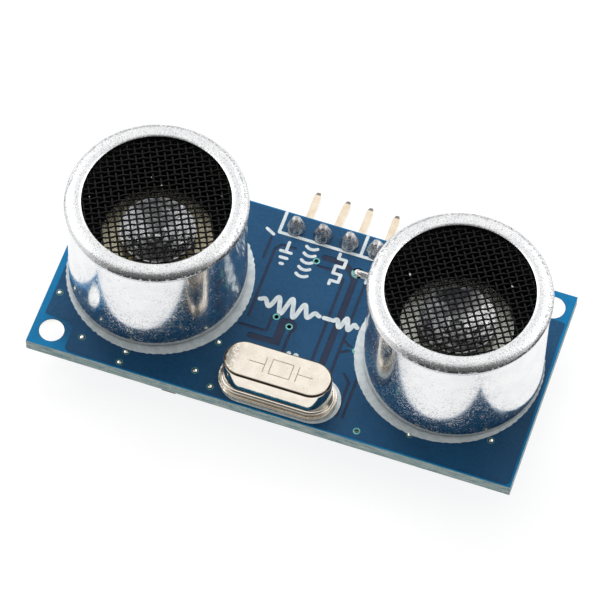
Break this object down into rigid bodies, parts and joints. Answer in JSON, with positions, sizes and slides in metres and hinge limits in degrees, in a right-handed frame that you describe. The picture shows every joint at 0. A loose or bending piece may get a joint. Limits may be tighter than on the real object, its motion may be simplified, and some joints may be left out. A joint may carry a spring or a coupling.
{
  "type": "ultrasonic distance sensor",
  "caption": "Blue circuit board carrying two round open-front ultrasonic transducers with mesh grilles, a quartz crystal and a right-angle pin header.",
  "frame": {"origin": "centre of the mounting-hole pattern, on the board's back face", "axes": "+Z out of the transducers' fronts, +X along the board from the receiver to the transmitter, +Y towards the header pins"},
  "size_m": [0.045, 0.026, 0.0165],
  "materials": {
    "board_laminate": "satin blue coating over glass-epoxy laminate",
    "tinned_copper": "thin tinned copper under a teal edge of coating",
    "can_aluminium": "polished drawn aluminium with fine scuffs and a grainy rim",
    "blackened_mesh": "blackened woven wire, satin",
    "black_moulding": "black moulded plastic, matt",
    "silicone": "translucent white silicone",
    "piezo_ceramic": "silvered ceramic, matt",
    "plate_metal": "pale brass sheet, satin",
    "cone_aluminium": "bright spun aluminium",
    "tinned_metal": "bright tin plate",
    "wire_enamel": "red enamelled wire",
    "solder": "bright solder with dull wrinkles",
    "crystal_nickel": "warm bright nickel with fine scratches",
    "seal_glass": "dark green glass bead",
    "quartz": "clear quartz with thin electrodes",
    "gilt_pin": "pale gold plate",
    "chip_epoxy": "black moulded epoxy, fine grain",
    "resistor_film": "black glazed film on ceramic",
    "capacitor_ceramic": "tan fired ceramic"
  },
  "bodies": {
    "root": {"pcb": "board_laminate", "via_platings": "tinned_copper", "ground_wire": "tinned_metal", "ground_wire_solder": "solder", "receiver_can": "can_aluminium", "receiver_grille": "blackened_mesh", "receiver_liner": "black_moulding", "receiver_base": "black_moulding", "receiver_damping_ring": "silicone", "receiver_piezo_disc": "piezo_ceramic", "receiver_bender_plate": "plate_metal", "receiver_cone": "cone_aluminium", "receiver_terminals": "tinned_metal", "receiver_lead_wires": "wire_enamel", "transmitter_can": "can_aluminium", "transmitter_grille": "blackened_mesh", "transmitter_liner": "black_moulding", "transmitter_base": "black_moulding", "transmitter_damping_ring": "silicone", "transmitter_piezo_disc": "piezo_ceramic", "transmitter_bender_plate": "plate_metal", "transmitter_cone": "cone_aluminium", "transmitter_terminals": "tinned_metal", "transmitter_lead_wires": "wire_enamel", "transducer_solder": "solder", "crystal_can": "crystal_nickel", "crystal_base": "crystal_nickel", "crystal_seals": "seal_glass", "crystal_leads": "tinned_metal", "crystal_quartz_blank": "quartz", "crystal_clips": "crystal_nickel", "crystal_solder": "solder", "header_body": "black_moulding", "ground_pin": "gilt_pin", "echo_pin": "gilt_pin", "trigger_pin": "gilt_pin", "supply_pin": "gilt_pin", "header_solder": "solder", "microcontroller_body": "chip_epoxy", "microcontroller_leads": "tinned_metal", "amplifier_body": "chip_epoxy", "amplifier_leads": "tinned_metal", "driver_body": "chip_epoxy", "driver_leads": "tinned_metal", "transistor_body": "chip_epoxy", "transistor_leads": "tinned_metal", "resistor_bodies": "resistor_film", "resistor_end_caps": "tinned_metal", "capacitor_bodies": "capacitor_ceramic", "capacitor_end_caps": "tinned_metal"}
  },
  "joints": []
}
